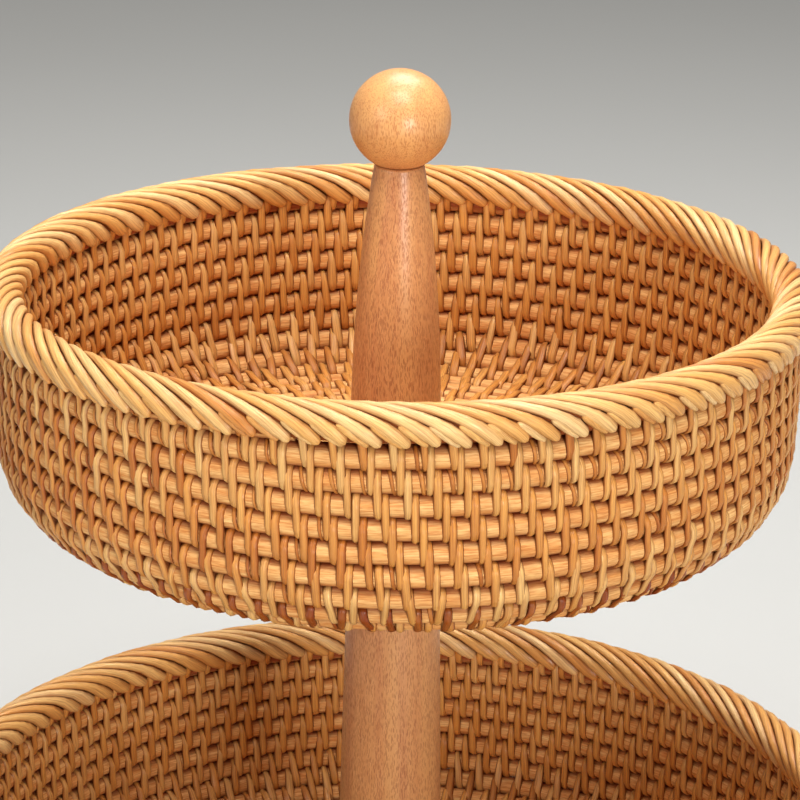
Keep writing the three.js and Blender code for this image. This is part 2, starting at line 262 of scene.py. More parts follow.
def chance(tree, low, high, seed, data_type="FLOAT"):
    return put(tree, "FunctionNodeRandomValue", {"Min": low, "Max": high, "Seed": seed}, data_type=data_type)


def later_seed(tree, given, steps):
    return calc(tree, "ADD", given["Seed"], steps)


def set_kinds(tree, given, points, rotation, scale=(1.0, 1.0, 1.0)):
    """Sets one of the sources on each point, picked by chance."""
    picks = {"Collection": given["Sources"], "Separate Children": True, "Reset Children": True}
    last_kind = calc(tree, "SUBTRACT", given["Kinds"], 1.0)
    inputs = {
        "Points": points,
        "Instance": put(tree, "GeometryNodeCollectionInfo", picks),
        "Pick Instance": True,
        "Instance Index": chance(tree, 0, last_kind, later_seed(tree, given, 2.0), "INT"),
        "Rotation": rotation,
        "Scale": scale,
    }
    return put(tree, "GeometryNodeInstanceOnPoints", inputs)


def rod_tree():
    """A round rod along a line. Its points keep their place along it, round it, and how far they face the
    next course, for the painted shade between courses.
    """
    tree, given = geometry_tree("Rattan rod", Sides="Int", Finish="Material")
    line = put(tree, "GeometryNodeMeshToCurve", {"Mesh": given["Geometry"]})
    line = keep(tree, line, "along", put(tree, "GeometryNodeSplineParameter", output="Length"))
    section = put(tree, "GeometryNodeCurvePrimitiveCircle", {"Resolution": given["Sides"], "Radius": 1.0})
    section = keep(tree, section, "section", put(tree, "GeometryNodeInputPosition"), "FLOAT_VECTOR")
    inputs = {
        "Curve": line,
        "Profile Curve": section,
        "Scale": attribute(tree, "rod_radius"),
        "Fill Caps": True,
    }
    rod = put(tree, "GeometryNodeCurveToMesh", inputs)
    sides = {0: put(tree, "GeometryNodeInputNormal"), 1: attribute(tree, "rise", "FLOAT_VECTOR")}
    towards = put(tree, "ShaderNodeVectorMath", sides, "Value", operation="DOT_PRODUCT")
    rod = keep(tree, rod, "crevice", calc(tree, "ABSOLUTE", towards))
    return close_tree(tree, rod, given["Finish"])


def stitch_tree():
    """A strip on each seat, turned to the seat's own axes, with a small sway and change of width."""
    tree, given = geometry_tree(
        "Binding stitches", Sources="Collection", Kinds="Int", Sway="Float", Spread="Float", Seed="Int",
        Finish="Material",
    )
    axes = {
        "Primary Axis": attribute(tree, "rise", "FLOAT_VECTOR"),
        "Secondary Axis": attribute(tree, "outward", "FLOAT_VECTOR"),
    }
    facing = put(tree, "FunctionNodeAxesToRotation", axes, primary_axis="Z", secondary_axis="X")
    sway = chance(tree, times(tree, given["Sway"], -1.0), given["Sway"], given["Seed"])
    sway = calc(tree, "ADD", sway, attribute(tree, "lean"))
    leaning = put(tree, "FunctionNodeEulerToRotation", {"Euler": join_vector(tree, sway, 0.0, 0.0)})
    turns = {"Rotation": facing, "Rotate By": leaning}
    facing = put(tree, "FunctionNodeRotateRotation", turns, rotation_space="LOCAL")
    narrow = calc(tree, "SUBTRACT", 1.0, given["Spread"])
    wide = calc(tree, "ADD", 1.0, given["Spread"])
    width = chance(tree, narrow, wide, later_seed(tree, given, 1.0))
    stitches = set_kinds(tree, given, given["Geometry"], facing, join_vector(tree, 1.0, width, 1.0))
    return close_tree(tree, stitches, given["Finish"])


def strand_tree():
    """Strands set evenly round the axis, each with a tone of its own."""
    tree, given = geometry_tree(
        "Rim strands", Sources="Collection", Kinds="Int", Count="Int", Phase="Float", Sway="Float",
        Seed="Int", Finish="Material",
    )
    points = put(tree, "GeometryNodePoints", {"Count": given["Count"]})
    points = keep(tree, points, "tone", chance(tree, 0.0, 1.0, given["Seed"]))
    step = calc(tree, "DIVIDE", math.tau, given["Count"])
    turn = times(tree, put(tree, "GeometryNodeInputIndex"), step)
    sway = chance(tree, times(tree, given["Sway"], -1.0), given["Sway"], later_seed(tree, given, 1.0))
    turn = calc(tree, "ADD", calc(tree, "ADD", turn, given["Phase"]), sway)
    facing = put(tree, "FunctionNodeEulerToRotation", {"Euler": join_vector(tree, 0.0, 0.0, turn)})
    return close_tree(tree, set_kinds(tree, given, points, facing), given["Finish"])


def grow(name, mesh, tree, **inputs):
    """Runs a tree on a mesh and returns the outcome as an object with a plain mesh."""
    piece = bpy.data.objects.new(name, mesh)
    bpy.context.scene.collection.objects.link(piece)
    modifier = piece.modifiers.new("grow", "NODES")
    modifier.node_group = tree
    for socket in tree.interface.items_tree:
        if socket.in_out == "INPUT" and socket.name in inputs:
            modifier[socket.identifier] = inputs[socket.name]
    depsgraph = bpy.context.evaluated_depsgraph_get()
    grown = bpy.data.meshes.new_from_object(piece.evaluated_get(depsgraph))
    grown.name = name
    piece.modifiers.remove(modifier)
    piece.data = grown
    return piece


# Meshes

def seal(builder, name):
    """Ends a mesh: doubles merged, faces outwards."""
    bmesh.ops.remove_doubles(builder, verts=builder.verts, dist=MERGE_DISTANCE)
    bmesh.ops.recalc_face_normals(builder, faces=builder.faces)
    mesh = bpy.data.meshes.new(name)
    builder.to_mesh(mesh)
    builder.free()
    return mesh


def skin(builder, rows):
    """Faces from each closed row of corners to the next, and over both ends."""
    for here, there in zip(rows, rows[1:]):
        for side in range(len(here)):
            beside = (side + 1) % len(here)
            builder.faces.new((here[side], here[beside], there[beside], there[side]))
    builder.faces.new(rows[0])
    builder.faces.new(rows[-1])


def strip_mesh(name, rings, profile):
    """A closed strip through rings of points, which keeps each point's place across and along it."""
    builder = bmesh.new()
    across = builder.verts.layers.float.new("across")
    along = builder.verts.layers.float.new("along")
    corners = []
    for step, ring in enumerate(rings):
        row = []
        for place, point in zip(profile, ring):
            corner = builder.verts.new(point)
            corner[across] = place
            corner[along] = step / (len(rings) - 1)
            row.append(corner)
        corners.append(row)
    skin(builder, corners)
    return seal(builder, name)


def turned_mesh(name, outline):
    """A solid turned about Z from (radius, height) points, from axis to axis or back to the first."""
    builder = bmesh.new()
    points = [builder.verts.new((radius, 0, height)) for radius, height in outline]
    edges = [builder.edges.new(pair) for pair in zip(points, points[1:])]
    bmesh.ops.spin(builder, geom=points + edges, axis=(0, 0, 1), cent=(0, 0, 0), angle=math.tau,
                   steps=TURNED_SIDES, use_merge=True)
    mesh = seal(builder, name)
    mesh.shade_smooth()
    mesh.set_sharp_from_angle(angle=SHARP_ANGLE)
    return mesh


def mark(mesh, name, values):
    """Keeps a number at each point of a mesh."""
    mesh.attributes.new(name, "FLOAT", "POINT").data.foreach_set("value", values)


def mark_vectors(mesh, name, vectors):
    numbers = [number for vector in vectors for number in vector]
    mesh.attributes.new(name, "FLOAT_VECTOR", "POINT").data.foreach_set("vector", numbers)


def add_piece(name, mesh, material):
    mesh.materials.append(material)
    piece = bpy.data.objects.new(name, mesh)
    bpy.context.scene.collection.objects.link(piece)
    return piece


def source_collection(name, meshes):
    """Strips or strands that a tree picks from."""
    collection = bpy.data.collections.new(name)
    for mesh in meshes:
        collection.objects.link(bpy.data.objects.new(mesh.name, mesh))
    return collection


def clear_sources(collection):
    for source in list(collection.objects):
        bpy.data.objects.remove(source)
    bpy.data.collections.remove(collection)


# The baskets

class BasketLine:
    """The path of a basket's courses in an upright half plane, from the floor's centre to the rim."""

    def __init__(self, tier):
        floor_low, floor_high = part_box(f"{tier}_floor_coil")
        rim_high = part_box(f"{tier}_rim_wrap")[1]
        self.rim_radius = rim_high.x - RIM_WIDTH / 2
        self.rim_height = rim_high.z - RIM_HEIGHT / 2
        self.rim_underside = rim_high.z - RIM_HEIGHT
        self.centre_height = floor_high.z - PRESSED_ROD_RADIUS
        self.flat_height = floor_low.z + ROD_RADIUS + STRIP_THICKNESS
        self.corner_height = self.flat_height + CORNER_RADIUS
        self.wall_foot_height = self.corner_height - CORNER_RADIUS * math.sin(WALL_LEAN)
        wall_rise = self.rim_underside - WALL_GAP - self.wall_foot_height
        self.wall_foot_radius = self.rim_radius - wall_rise * math.tan(WALL_LEAN)
        self.corner_start = self.wall_foot_radius - CORNER_RADIUS * math.cos(WALL_LEAN)
        self.floor_length = self.corner_start - FIRST_COURSE_RADIUS
        self.corner_length = CORNER_RADIUS * (math.pi / 2 - WALL_LEAN)
        length = self.floor_length + self.corner_length + wall_rise / math.cos(WALL_LEAN)
        self.end_turn = (length + COIL_END_RISE) / COURSE_PITCH
        self.floor_turns = self.floor_length / COURSE_PITCH
        self.wall_stitch_turn = self.floor_turns - STITCH_CHANGE

    def at(self, turn):
        """Radius and height of the course's centre at a turn."""
        along = turn * COURSE_PITCH
        if along < self.floor_length:
            radius = FIRST_COURSE_RADIUS + along
            climb = min(1, max(0, (radius - CENTRE_RADIUS) / CENTRE_SLOPE_WIDTH))
            share = (1 + math.cos(math.pi * climb)) / 2
            return radius, self.flat_height + share * (self.centre_height - self.flat_height)
        along -= self.floor_length
        if along < self.corner_length:
            bend = along / CORNER_RADIUS
            radius = self.corner_start + CORNER_RADIUS * math.sin(bend)
            return radius, self.corner_height - CORNER_RADIUS * math.cos(bend)
        along -= self.corner_length
        radius = self.wall_foot_radius + along * math.sin(WALL_LEAN)
        return radius, self.wall_foot_height + along * math.cos(WALL_LEAN)

    def angle(self, turn):
        return COIL_END_ANGLE + (turn - self.end_turn) * math.tau

    def rod_radius(self, turn):
        share = min(1, max(0, (turn - PRESSED_TURNS) / (FULL_ROD_TURN - PRESSED_TURNS)))
        return PRESSED_ROD_RADIUS + share * (ROD_RADIUS - PRESSED_ROD_RADIUS)

    def point(self, turn):
        radius, height = self.at(turn)
        angle = self.angle(turn)
        return Vector((radius * math.cos(angle), radius * math.sin(angle), height))


def seat(line, turn, tone=0.0, courses=2, sideways=0.0, lean=0.0):
    """Where a strip sits: between two courses, or on one, in the upright plane of its turn."""
    radius, height = line.at(turn)
    next_radius, next_height = line.at(turn + 1)
    rise = Vector((next_radius - radius, next_height - height)).normalized()
    middle = (courses - 1) / 2
    radius += middle * (next_radius - radius)
    height += middle * (next_height - height)
    angle = line.angle(turn) + sideways / radius
    spoke = Vector((math.cos(angle), math.sin(angle), 0))
    up = Vector((0, 0, 1))
    return {
        "at": spoke * radius + up * height,
        "rise": spoke * rise.x + up * rise.y,
        "outward": spoke * rise.y - up * rise.x,
        "tone": tone,
        "lean": lean,
    }


def seat_mesh(name, seats):
    """Points that carry the axes and tone of the strips that sit on them."""
    mesh = bpy.data.meshes.new(name)
    mesh.from_pydata([place["at"] for place in seats], [], [])
    for label in ("rise", "outward"):
        mark_vectors(mesh, label, [place[label] for place in seats])
    for label in ("tone", "lean"):
        mark(mesh, label, [place[label] for place in seats])
    return mesh


def rod_line(name, line, first, last):
    """The centre line of the coil between two turns, as a mesh of edges."""
    turns = [first]
    while turns[-1] < last:
        radius = line.at(turns[-1])[0]
        turns.append(min(last, turns[-1] + ROD_STEP / (math.tau * radius)))
    points = [line.point(turn) for turn in turns]
    edges = [(step, step + 1) for step in range(len(turns) - 1)]
    mesh = bpy.data.meshes.new(name)
    mesh.from_pydata(points, edges, [])
    mark(mesh, "rod_radius", [line.rod_radius(turn) for turn in turns])
    mark_vectors(mesh, "rise", [seat(line, turn)["rise"] for turn in turns])
    return mesh


def strip_share(share):
    """A strip's width at a share of its way, in shares of its plain width."""
    for (start, first), (end, last) in zip(STRIP_SHAPE, STRIP_SHAPE[1:]):
        if share <= end:
            return first + (last - first) * (share - start) / (end - start)


def wound_strip(name, path, width, thickness, slant):
    """A strip that goes once round its path, moving sideways as it goes."""
    rings = []
    for step, (base, normal) in enumerate(path):
        share = step / (len(path) - 1)
        sideways = slant * (2 * share - 1)
        half_width = width / 2 * strip_share(share)
        ring = []
        for place, height in STRIP_PROFILE:
            out, up = base + normal * height * thickness
            ring.append((out, place * half_width + sideways, up))
        rings.append(ring)
    return strip_mesh(name, rings, [place for place, height in STRIP_PROFILE])


def arc_path(centre, angles):
    """Points on a rod's surface at these angles in degrees, with their normals."""
    path = []
    for angle in angles:
        normal = Vector((math.cos(math.radians(angle)), math.sin(math.radians(angle))))
        path.append((Vector((0, centre)) + normal * ROD_RADIUS, normal))
    return path


def stitch_mesh(name, width, slant):
    """A strip that lashes two courses: out of the gap above, down the outside, up the inside."""
    half = COURSE_PITCH / 2
    outside = Vector((1, 0))
    dip = ROD_RADIUS - STRIP_DIP
    over = arc_path(half, (90, 60, 30, 0))
    under = arc_path(-half, (0, -36, -72, -108, -144, -180))
    back_up = arc_path(half, (180, 140, 105))
    path = [*over, (outside * dip, outside), *under, (-outside * dip, -outside), *back_up]
    return wound_strip(name, path, width, STRIP_THICKNESS, slant)


def wrap_mesh(name, width, slant):
    """A thin strip once round a single course."""
    return wound_strip(name, arc_path(0, range(90, -271, -30)), width, WRAP_THICKNESS, slant)


def strip_tones(dice):
    """Tones that stay alike for a run of stitches, because one strip makes many."""
    while True:
        run = dice.randint(*STRIP_RUN)
        middle = dice.choice(STRIP_TONES)
        for _ in range(run):
            yield min(1, max(0, dice.gauss(middle, TONE_SPREAD)))


def wall_seats(line, tier, dice):
    """Seats of the wall's stitches and of the short wraps beside some of them."""
    per_turn = STITCHES_PER_TURN[tier]
    tones = strip_tones(dice)
    stitches = []
    wraps = []
    for count in range(math.ceil(line.wall_stitch_turn * per_turn), int(line.end_turn * per_turn)):
        turn = count / per_turn
        courses_down = line.end_turn - turn
        uneven = min(UNEVEN_COURSES, max(0, courses_down - EVEN_COURSES))
        sideways = dice.gauss(0, STITCH_DRIFT + STITCH_DRIFT * uneven)
        lean = dice.gauss(0, STITCH_LEAN + STITCH_LEAN_GROWTH * uneven)
        tone = next(tones)
        if courses_down < 1:
            lean = TOP_ROW_LEAN
            tone = dice.uniform(*TOP_ROW_TONES)
        elif DARK_ROW < courses_down < DARK_ROW + 1 and dice.random() < DARK_ROW_SHARE:
            tone = dice.uniform(*DARK_ROW_TONES)
        elif DARK_ROW - 1 < courses_down < DARK_ROW:
            tone = dice.uniform(*PALE_ROW_TONES)
        stitches.append(seat(line, turn, tone, sideways=sideways, lean=lean))
        if 1 < courses_down < 2 or dice.random() < WRAP_SHARE:
            wraps.append(seat(line, turn, tone * WRAP_TONE, courses=1, sideways=sideways + WRAP_OFFSET))
    return stitches, wraps


def floor_seats(line, dice):
    tones = strip_tones(dice)
    stitches = []
    turn = (FLOOR_STITCH_START - FIRST_COURSE_RADIUS) / COURSE_PITCH
    while turn < line.wall_stitch_turn:
        stitches.append(seat(line, turn, next(tones), sideways=dice.gauss(0, FLOOR_STITCH_DRIFT)))
        turn += FLOOR_STITCH_SPACING / (math.tau * line.at(turn)[0])
    return stitches


# The rims

def rim_point(line, lift, droop, angle):
    """A point over the bundle inside the rim, an oval whose underside is fuller and hangs lower."""
    out = math.cos(angle)
    up = math.sin(angle)
    half_height = BED_UP + lift
    if up < 0:
        half_height += droop
        out = math.copysign(abs(out) + RIM_FULLNESS * (1 - abs(out)), out)
    return line.rim_radius + (BED_OUT + lift) * out, line.rim_height + half_height * up


def advance(angle):
    """How far along the rim a strand has come at an angle of the rim's section."""
    share = (STRAND_START - angle) / (STRAND_START - STRAND_END)
    return STRAND_ADVANCE * (share - STRAND_CURL * math.sin(math.tau * share))


def strand_stops(length, nose):
    """Where a strand's rings lie along it, closer together at its noses."""
    body = length - 2 * nose
    steps = max(STRAND_LEAST_STEPS, round(body / STRAND_STEP))
    first = [share * nose for share in NOSE_STOPS]
    between = [nose + body * step / steps for step in range(1, steps)]
    last = [length - share * nose for share in reversed(NOSE_STOPS)]
    return first + between + last


def strand_mesh(name, line, start, end, width, nose_width, thickness, shift, lift):
    """A crowned strand that runs round the rim's section while it moves along the rim."""
    round_radius = (BED_OUT + BED_UP + STRAND_THICKNESS) / 2
    length = math.hypot(advance(end) - advance(start), round_radius * (start - end))
    even_rate = STRAND_ADVANCE / (STRAND_START - STRAND_END)
    even_slope = round_radius / math.hypot(even_rate, round_radius)
    nose = width / 2
    bow, flank = STRAND_CROWN
    rings = []
    for stop in strand_stops(length, nose):
        from_end = min(stop, length - stop)
        taper = min(1, (length - stop) / (STRAND_TAPER * nose))
        roundness = math.sqrt(max(NOSE_BLUNTNESS, 1 - (1 - min(1, from_end / nose)) ** 2))
        crown = thickness * (0.5 + 0.5 * roundness)
        centre = start + (end - start) * stop / length
        rate = (advance(centre - ANGLE_STEP) - advance(centre + ANGLE_STEP)) / (2 * ANGLE_STEP)
        direction = Vector((rate, round_radius)).normalized()
        sideways = Vector((-direction.y, direction.x))
        room = width * direction.y / even_slope
        half_width = (nose_width + (room - nose_width) * taper) / 2 * roundness
        ring = []
        for place in STRAND_PROFILE:
            offset = sideways * place * half_width
            height = lift + crown * (1 - abs(place) ** bow) ** flank
            out, up = rim_point(line, height, RIM_DROOP, centre - offset.y / round_radius)
            turn = (advance(centre) + shift + offset.x) / line.rim_radius
            ring.append((out * math.cos(turn), out * math.sin(turn), up))
        rings.append(ring)
    return strip_mesh(name, rings, STRAND_PROFILE)


def rim_bed_mesh(name, line):
    """The bundle that the strands lie on."""
    angles = [math.tau * step / BED_SIDES for step in range(BED_SIDES + 1)]
    return turned_mesh(name, [rim_point(line, 0.0, BED_DROOP, angle) for angle in angles])


# Finishes

FIBRE_DEPTH = 0.00012
PORE_DEPTH = 0.0001
BUMP_STRENGTH = 0.5
TONE_STRIDE = 57.0  # so that strips of other tones have other fibres
INNER_PART = (0.55, 0.7)  # along a strip, where it comes up the inside
STAINED_END = (0.34, 0.5)  # from a strand's middle, in shares of its length
CREVICE_SHADE = (0.5, 0.95)  # where painted shade darkens a rod towards the next course
ROD_FIBRES_ACROSS = 9.0
ROD_FIBRES_ALONG = 190.0


def colour(red, green, blue):
    """Linear colour of a screen colour given as 0 to 255."""
    screen = Color((red / 255, green / 255, blue / 255))
    return (*screen.from_srgb_to_scene_linear(), 1.0)


def shader_group(name, inputs, outputs):
    """A new shader node group with named sockets. Returns it, its inputs and its end node."""
    group = bpy.data.node_groups.new(name, "ShaderNodeTree")
    add_sockets(group, "INPUT", inputs)
    add_sockets(group, "OUTPUT", dict.fromkeys(outputs, "Float"))
    return group, group.nodes.new("NodeGroupInput").outputs, group.nodes.new("NodeGroupOutput")


def use_group(tree, group, outputs, **inputs):
    node = tree.nodes.new("ShaderNodeGroup")
    node.node_tree = group
    for label, value in inputs.items():
        feed(tree, named(node.inputs, label), value)
    return [node.outputs[label] for label in outputs]


def noise(tree, vector, scale=1.0, detail=2.0, roughness=0.5):
    inputs = {"Vector": vector, "Scale": scale, "Detail": detail, "Roughness": roughness}
    return put(tree, "ShaderNodeTexNoise", inputs)


def stretched(tree, vector, scale):
    return put(tree, "ShaderNodeMapping", {"Vector": vector, "Scale": scale})


def remap(tree, value, low, high, new_low=0.0, new_high=1.0):
    inputs = {"Value": value, "From Min": low, "From Max": high, "To Min": new_low, "To Max": new_high}
    return put(tree, "ShaderNodeMapRange", inputs)


def blend(tree, factor, first, second, mode="MIX"):
    inputs = {"Factor": factor, "A": first, "B": second}
    return put(tree, "ShaderNodeMix", inputs, data_type="RGBA", blend_type=mode)


def ramp(tree, factor, *stops):
    """A colour that runs through (place, colour) stops."""
    node = tree.nodes.new("ShaderNodeValToRGB")
    elements = node.color_ramp.elements
    while len(elements) < len(stops):
        elements.new(0.5)
    for element, (place, tint) in zip(elements, stops):
        element.position = place
        element.color = tint
    feed(tree, node.inputs["Fac"], factor)
    return node.outputs["Color"]


def surface_attribute(tree, name, output="Fac"):
    return put(tree, "ShaderNodeAttribute", output=output, attribute_name=name)


def object_place(tree):
    return put(tree, "ShaderNodeTexCoord", output="Object")


def bump(tree, height, distance):
    return put(tree, "ShaderNodeBump", {"Height": height, "Distance": distance, "Strength": BUMP_STRENGTH})


def finish(name, **constants):
    """A material with a Principled shader. Returns it, its tree and a call that feeds the shader."""
    material = bpy.data.materials.new(name)
    material.use_nodes = True
    tree = material.node_tree
    shader = tree.nodes["Principled BSDF"]
    for label, value in constants.items():
        shader.inputs[label.replace("_", " ")].default_value = value

    def shade(label, value):
        feed(tree, shader.inputs[label], value)

    return material, tree, shade


def fibre_group():
    """Fine lines along a rattan strip or rod, and slower patches. The vector's Z runs along the strip."""
    group, given, end = shader_group("Rattan fibres", {"Vector": "Vector"}, ("Lines", "Patches"))
    lines = noise(group, given["Vector"], detail=3.0, roughness=0.6)
    feed(group, end.inputs["Lines"], remap(group, lines, low=0.4, high=0.62))
    patches = noise(group, stretched(group, given["Vector"], (0.18, 0.18, 0.3)))
    feed(group, end.inputs["Patches"], remap(group, patches, low=0.32, high=0.68))
    return group


def pore_group():
    """Short dark pores along the grain, which is Z, a fine figure and broad bands."""
    group, given, end = shader_group(
        "Wood pores", {"Vector": "Vector", "Width": "Float", "Length": "Float"}, ("Pores", "Figure", "Bands"),
    )
    across = calc(group, "DIVIDE", 1.0, given["Width"])
    along = calc(group, "DIVIDE", 1.0, given["Length"])
    stretch = join_vector(group, across, across, along)
    placed = put(group, "ShaderNodeVectorMath", {0: given["Vector"], 1: stretch}, operation="MULTIPLY")
    spots = put(group, "ShaderNodeTexVoronoi", {"Vector": placed, "Scale": 1.0}, output="Distance")
    reach = remap(group, noise(group, placed, scale=0.45), low=0.35, high=0.65, new_low=0.3, new_high=0.56)
    pores = calc(group, "SUBTRACT", reach, spots)
    feed(group, end.inputs["Pores"], remap(group, pores, low=0.0, high=0.09))
    figure = noise(group, stretched(group, placed, (0.9, 0.9, 0.25)), detail=5.0, roughness=0.7)
    feed(group, end.inputs["Figure"], remap(group, figure, low=0.3, high=0.7))
    bands = noise(group, stretched(group, placed, (0.06, 0.06, 0.006)), detail=3.0)
    feed(group, end.inputs["Bands"], remap(group, bands, low=0.35, high=0.65))
    return group


def strip_finish(name, tints, fibres_across, fibres_along, roughness, end_stain=0.0, inner_fade=0.0):
    """Glossy peeled rattan: fibres along the strip, painted shade at its edges, one tone for each strip."""
    material, tree, shade = finish(name, Specular_IOR_Level=0.35)
    across, along, tone = (surface_attribute(tree, label) for label in ("across", "along", "tone"))
    vector = join_vector(
        tree,
        times(tree, across, fibres_across),
        times(tree, tone, TONE_STRIDE),
        times(tree, along, fibres_along),
    )
    lines, patches = use_group(tree, fibres, ("Lines", "Patches"), Vector=vector)
    stain_tint, patch_tint, inner_tint = (tint for place, tint in tints[:3])
    base = ramp(tree, tone, *tints)
    base = blend(tree, remap(tree, along, *INNER_PART, new_high=inner_fade), base, inner_tint)
    base = blend(tree, times(tree, lines, 0.5), base, FIBRE_AND_EDGE_SHADE_TINT, "MULTIPLY")
    base = blend(tree, times(tree, patches, 0.35), base, patch_tint)
    from_middle = calc(tree, "ABSOLUTE", calc(tree, "SUBTRACT", along, 0.5))
    base = blend(tree, remap(tree, from_middle, *STAINED_END, new_high=end_stain), base, stain_tint)
    # painted shade: darker towards the strip's edges, where it meets its neighbours
    edge_shade = calc(tree, "POWER", calc(tree, "ABSOLUTE", across), 3.0)
    shade("Base Color", blend(tree, times(tree, edge_shade, 0.8), base, FIBRE_AND_EDGE_SHADE_TINT, "MULTIPLY"))
    shade("Roughness", remap(tree, lines, 0.0, 1.0, roughness - 0.05, roughness + 0.1))
    shade("Normal", bump(tree, lines, FIBRE_DEPTH))
    return material


def rod_finish():
    """Matte rattan core: fibre lines along the rod, with paler and browner stretches."""
    material, tree, shade = finish("rattan_rod", Specular_IOR_Level=0.2)
    section = tree.nodes.new("ShaderNodeSeparateXYZ")
    feed(tree, section.inputs["Vector"], surface_attribute(tree, "section", "Vector"))
    vector = join_vector(
        tree,
        times(tree, section.outputs["X"], ROD_FIBRES_ACROSS),
        times(tree, section.outputs["Y"], ROD_FIBRES_ACROSS),
        times(tree, surface_attribute(tree, "along"), ROD_FIBRES_ALONG),
    )
    lines, patches = use_group(tree, fibres, ("Lines", "Patches"), Vector=vector)
    base = blend(tree, patches, colour(224, 156, 86), colour(243, 193, 124))
    base = blend(tree, times(tree, lines, 0.55), base, colour(196, 130, 72), "MULTIPLY")
    crevice = remap(tree, surface_attribute(tree, "crevice"), *CREVICE_SHADE, new_high=0.85)
    # painted shade: the rod darker where it turns towards the next course, and on the top course inside,
    # under the rim
    shade("Base Color", blend(tree, crevice, base, colour(142, 50, 8), "MULTIPLY"))
    shade("Roughness", remap(tree, lines, 0.0, 1.0, 0.5, 0.7))
    shade("Normal", bump(tree, lines, FIBRE_DEPTH))
    return material


def bed_shade_finish():
    """Rattan under the rim's strands, painted dark brown as the shade between them."""
    material, tree, shade = finish("rim_bed", Roughness=0.7, Specular_IOR_Level=0.2)
    mottle = noise(tree, object_place(tree), scale=260.0, detail=3.0)
    # painted shade: the bed shows only in the dark gaps between strands
    shade("Base Color", blend(tree, mottle, colour(112, 46, 12), colour(154, 80, 30)))
    return material


def wood_finish(name, tints, pore_tint, pore_strength, pore_width, pore_length, roughness):
    """Clear-coated hardwood with dark pores. The tints are of the dark figure, the pale one and the bands."""
    material, tree, shade = finish(name, Coat_Weight=0.2, Coat_Roughness=0.3)
    grain = {"Vector": object_place(tree), "Width": pore_width, "Length": pore_length}
    spots, figure, bands = use_group(tree, pores, ("Pores", "Figure", "Bands"), **grain)
    dark_tint, pale_tint, band_tint = tints
    base = blend(tree, figure, dark_tint, pale_tint)
    base = blend(tree, times(tree, bands, 0.6), base, band_tint)
    shade("Base Color", blend(tree, times(tree, spots, pore_strength), base, pore_tint))
    shade("Roughness", remap(tree, spots, 0.0, 1.0, roughness, roughness + 0.2))
    shade("Normal", bump(tree, times(tree, spots, -1.0), PORE_DEPTH))
    return material


def metal_finish(name, tint, worn_tint, roughness):
    """Plain metal with a faint mottle."""
    material, tree, shade = finish(name, Metallic=1.0)
    mottle = noise(tree, object_place(tree), scale=900.0, detail=3.0)
    shade("Base Color", blend(tree, mottle, tint, worn_tint))
    shade("Roughness", remap(tree, mottle, 0.3, 0.7, roughness - 0.08, roughness + 0.1))
    return material


fibres = fibre_group()
pores = pore_group()
STRIP_TINTS = (
    (0.05, colour(146, 60, 16)),
    (0.4, colour(206, 128, 54)),
    (0.65, colour(234, 170, 88)),
    (0.95, colour(247, 205, 132)),
)
RIM_TINTS = (
    (0.0, colour(216, 138, 64)),
    (0.3, colour(240, 182, 102)),
    (0.7, colour(247, 199, 124)),
    (1.0, colour(251, 214, 150)),
)
# dark tint of the fibre lines, and of the painted shade at the strips' edges
FIBRE_AND_EDGE_SHADE_TINT = colour(138, 54, 10)
POST_TINTS = (colour(183, 110, 60), colour(217, 152, 100), colour(225, 166, 102))
BALL_TINTS = (colour(211, 140, 77), colour(229, 172, 111), colour(233, 175, 106))
finishes = {
    "strip": strip_finish("rattan_strip", STRIP_TINTS, fibres_across=6.0, fibres_along=3.0, roughness=0.3,
                          inner_fade=0.5),
    "rim": strip_finish("rim_strand", RIM_TINTS, fibres_across=9.0, fibres_along=6.0, roughness=0.32,
                        end_stain=0.5),
    "rod": rod_finish(),
    "bed": bed_shade_finish(),
    "post": wood_finish("post_wood", POST_TINTS, colour(150, 78, 36), pore_strength=0.55,
                        pore_width=0.00028, pore_length=0.0021, roughness=0.4),
    "ball": wood_finish("ball_wood", BALL_TINTS, colour(180, 102, 48), pore_strength=0.6,
                        pore_width=0.00028, pore_length=0.0017, roughness=0.36),
    "zinc": metal_finish("zinc_plate", colour(180, 182, 184), colour(160, 162, 166), roughness=0.35),
    "brass": metal_finish("brass_plain", colour(200, 160, 76), colour(176, 136, 60), roughness=0.34),
}


# Building the baskets

trees = {"rod": rod_tree(), "stitch": stitch_tree(), "strand": strand_tree()}


def lay(piece, body, slot_name, *nodes):
    """Fixes a piece to its body and hides the nodes that it stands for. Its slot name is not used."""
    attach(piece, body)
    if nodes:
        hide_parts(*nodes)


def either_way(dice, reach):
    return dice.uniform(-reach, reach)


def vary(dice, size, share):
    return size * dice.uniform(1 - share, 1 + share)


def pare_under_rim(piece, line):
    """Cuts the last course level behind the rim's strands, and paints the rim's shadow on its inside close
    under them.
    """
    top = line.rim_underside + PARED_HEIGHT
    shade_start = line.rim_underside - RIM_SHADE_START
    for vertex, crevice in zip(piece.data.vertices, piece.data.attributes["crevice"].data):
        vertex.co.z = min(vertex.co.z, top)
        # painted shadow of the rim on the inside of the top course
        if math.hypot(vertex.co.x, vertex.co.y) < line.rim_radius:
            under_rim = (vertex.co.z - shade_start) / (RIM_SHADE_START - RIM_SHADE_FULL)
            crevice.value = max(crevice.value, min(1, under_rim))


def tuck_under_rim(piece, line):
    """Presses what would come out on top of the rim down to its middle."""
    for vertex in piece.data.vertices:
        above = vertex.co.z - line.rim_height
        if above > 0:
            vertex.co.z = line.rim_height + TUCKED_SHARE * above


def build_rods(line, tier, body):
    spans = (("floor", 0.0, line.floor_turns), ("wall", line.floor_turns, line.end_turn))
    for part, first, last in spans:
        path = rod_line(f"{part}_line", line, first, last)
        rod = grow(f"{tier}_{part}_rod", path, trees["rod"], Sides=ROD_SIDES, Finish=finishes["rod"])
        if part == "wall":
            pare_under_rim(rod, line)
        lay(rod, body, "rattan", f"{tier}_{part}_coil")


